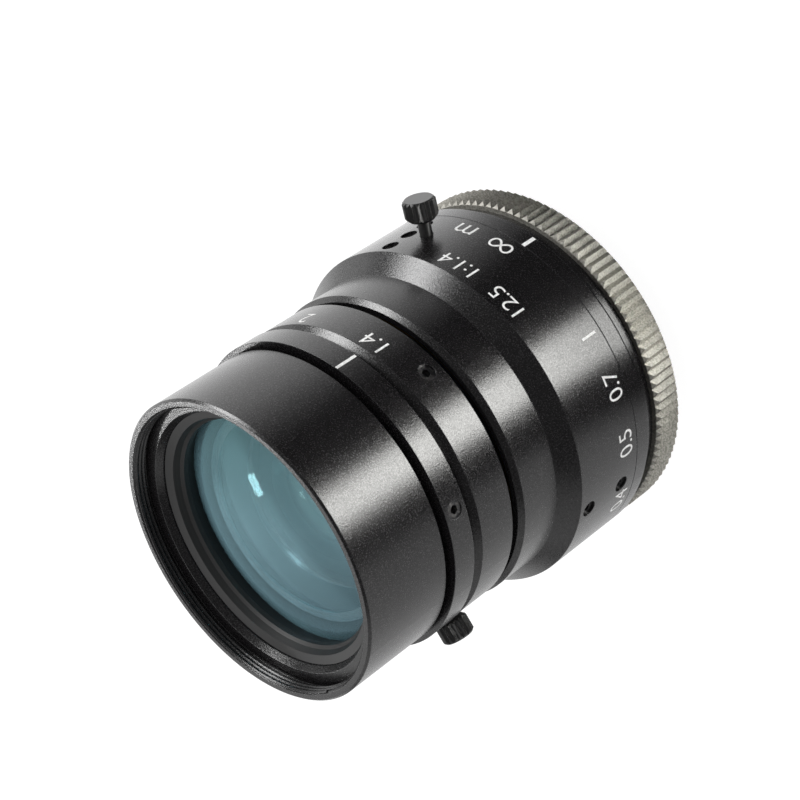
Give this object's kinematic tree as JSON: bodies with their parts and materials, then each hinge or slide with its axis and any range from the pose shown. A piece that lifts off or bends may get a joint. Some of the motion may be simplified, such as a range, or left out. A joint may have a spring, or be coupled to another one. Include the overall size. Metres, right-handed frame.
{
  "type": "c-mount machine vision lens",
  "caption": "Compact black metal machine vision lens with a C-mount thread, lockable focus and iris rings and a filter thread.",
  "frame": {"origin": "centre of the seat plane of the C-mount, where the lens meets the camera", "axes": "+Z along the optical axis towards the subject, +Y towards the focus index line"},
  "size_m": [0.0426, 0.0448, 0.053],
  "materials": {
    "bright_metal": "turned, plated brass",
    "black_anodised": "fine blasted, black anodised",
    "black_inner": "matt black anodised",
    "screw_steel": "blackened",
    "thumb_metal": "black plated brass",
    "brass": "turned",
    "glass_coated": "coated, clear",
    "blade_steel": "thin, matt black"
  },
  "bodies": {
    "mount": {"mount_ring": "bright_metal", "mount_screws": "screw_steel", "base_barrel": "black_anodised", "guide_key": "screw_steel", "stop_pin": "screw_steel"},
    "focus": {"focus_ring": "black_anodised", "focus_set_screws": "screw_steel", "helicoid_ring": "brass", "guide_screws": "screw_steel"},
    "focus_lock": {"focus_lock_screw": "thumb_metal"},
    "front": {"inner_barrel": "black_anodised", "iris_index_ring": "black_anodised", "index_set_screws": "screw_steel", "front_barrel": "black_anodised", "front_retaining_ring": "black_inner", "front_cell": "black_inner", "front_element": "glass_coated", "second_element": "glass_coated", "second_element_ring": "black_inner", "third_element": "glass_coated", "iris_base": "black_inner", "rear_cell": "black_inner", "doublet_flint": "glass_coated", "doublet_crown": "glass_coated", "fifth_element": "glass_coated", "wide_spacer": "black_inner", "sixth_element": "glass_coated", "thin_spacer": "black_inner", "rear_element": "glass_coated", "rear_retaining_ring": "black_inner"},
    "iris": {"iris_ring": "black_anodised", "iris_drive_screw": "screw_steel", "iris_cam_ring": "black_inner"},
    "iris_lock": {"iris_lock_screw": "thumb_metal"},
    "blade_1": {"iris_blade_1": "blade_steel"},
    "blade_2": {"iris_blade_2": "blade_steel"},
    "blade_3": {"iris_blade_3": "blade_steel"},
    "blade_4": {"iris_blade_4": "blade_steel"},
    "blade_5": {"iris_blade_5": "blade_steel"},
    "blade_6": {"iris_blade_6": "blade_steel"}
  },
  "joints": [
    {"name": "focus_turn", "type": "hinge", "parent": "mount", "child": "focus", "pos_m": [0, 0, 0.013], "axis": [0, 0, 1], "range_deg": [0, 130.4]},
    {"name": "focus_lock_turn", "type": "hinge", "parent": "focus", "child": "focus_lock", "pos_m": [-0.01051, 0.02046, 0.0131], "axis": [-0.4571, 0.8894, 0], "range_deg": [0, 360]},
    {"name": "front_travel", "type": "slide", "parent": "mount", "child": "front", "axis": [0, 0, 1], "range_m": [0, 0.0005433]},
    {"name": "iris_turn", "type": "hinge", "parent": "front", "child": "iris", "pos_m": [0, 0, 0.03], "axis": [0, 0, 1], "range_deg": [-91, 0]},
    {"name": "iris_lock_turn", "type": "hinge", "parent": "iris", "child": "iris_lock", "pos_m": [0.01595, -0.01206, 0.0306], "axis": [0.7976, -0.6032, 0], "range_deg": [0, 360]},
    {"name": "blade_1_turn", "type": "hinge", "parent": "front", "child": "blade_1", "pos_m": [0.01194, 0.00252, 0.0273], "axis": [0, 0, 1], "range_deg": [-24.9, 0]},
    {"name": "blade_2_turn", "type": "hinge", "parent": "front", "child": "blade_2", "pos_m": [0.00379, 0.0116, 0.0273], "axis": [0, 0, 1], "range_deg": [-24.9, 0]},
    {"name": "blade_3_turn", "type": "hinge", "parent": "front", "child": "blade_3", "pos_m": [-0.00815, 0.00908, 0.0273], "axis": [0, 0, 1], "range_deg": [-24.9, 0]},
    {"name": "blade_4_turn", "type": "hinge", "parent": "front", "child": "blade_4", "pos_m": [-0.01194, -0.00252, 0.0273], "axis": [0, 0, 1], "range_deg": [-24.9, 0]},
    {"name": "blade_5_turn", "type": "hinge", "parent": "front", "child": "blade_5", "pos_m": [-0.00379, -0.0116, 0.0273], "axis": [0, 0, 1], "range_deg": [-24.9, 0]},
    {"name": "blade_6_turn", "type": "hinge", "parent": "front", "child": "blade_6", "pos_m": [0.00815, -0.00908, 0.0273], "axis": [0, 0, 1], "range_deg": [-24.9, 0]}
  ],
  "couplings": [
    {"joint": "front_travel", "follows": "focus_turn", "m_per_rad": 0.00023873},
    {"joint": "blade_1_turn", "follows": "iris_turn", "ratio": 0.27363},
    {"joint": "blade_2_turn", "follows": "iris_turn", "ratio": 0.27363},
    {"joint": "blade_3_turn", "follows": "iris_turn", "ratio": 0.27363},
    {"joint": "blade_4_turn", "follows": "iris_turn", "ratio": 0.27363},
    {"joint": "blade_5_turn", "follows": "iris_turn", "ratio": 0.27363},
    {"joint": "blade_6_turn", "follows": "iris_turn", "ratio": 0.27363}
  ]
}
